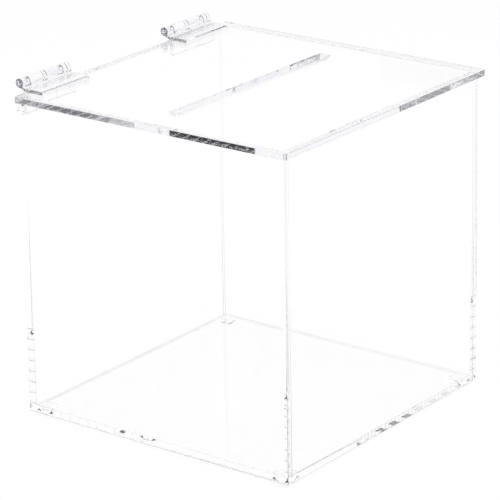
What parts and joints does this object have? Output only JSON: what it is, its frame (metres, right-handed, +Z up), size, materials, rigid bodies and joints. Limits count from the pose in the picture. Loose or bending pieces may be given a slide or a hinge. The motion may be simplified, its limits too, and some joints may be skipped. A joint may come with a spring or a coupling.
{
  "type": "ballot box",
  "caption": "Clear acrylic ballot box with an overhanging hinged lid that has one long slot, standing on clear bumper feet.",
  "frame": {"origin": "middle of the overall footprint, hinges included, on the surface that the feet stand on", "axes": "+Z up, +Y to the rear where the hinges are, +X to the right seen from the front"},
  "size_m": [0.305, 0.31, 0.3162],
  "materials": {
    "clear_sheet": "clear polished cast acrylic sheet",
    "clear_moulding": "clear moulded acrylic",
    "clear_rubber": "clear soft polyurethane"
  },
  "bodies": {
    "box": {"left_panel": "clear_sheet", "right_panel": "clear_sheet", "front_panel": "clear_sheet", "rear_panel": "clear_sheet", "bottom_panel": "clear_sheet", "left_hinge_box_leaf": "clear_moulding", "left_hinge_pin": "clear_moulding", "right_hinge_box_leaf": "clear_moulding", "right_hinge_pin": "clear_moulding", "front_left_foot": "clear_rubber", "front_right_foot": "clear_rubber", "rear_left_foot": "clear_rubber", "rear_right_foot": "clear_rubber"},
    "lid": {"lid_panel": "clear_sheet", "left_hinge_lid_leaf": "clear_moulding", "right_hinge_lid_leaf": "clear_moulding"}
  },
  "joints": [
    {"name": "lid_hinge", "type": "hinge", "parent": "box", "child": "lid", "pos_m": [0, 0.151, 0.3122], "axis": [-1, 0, 0], "range_deg": [0, 270]}
  ]
}
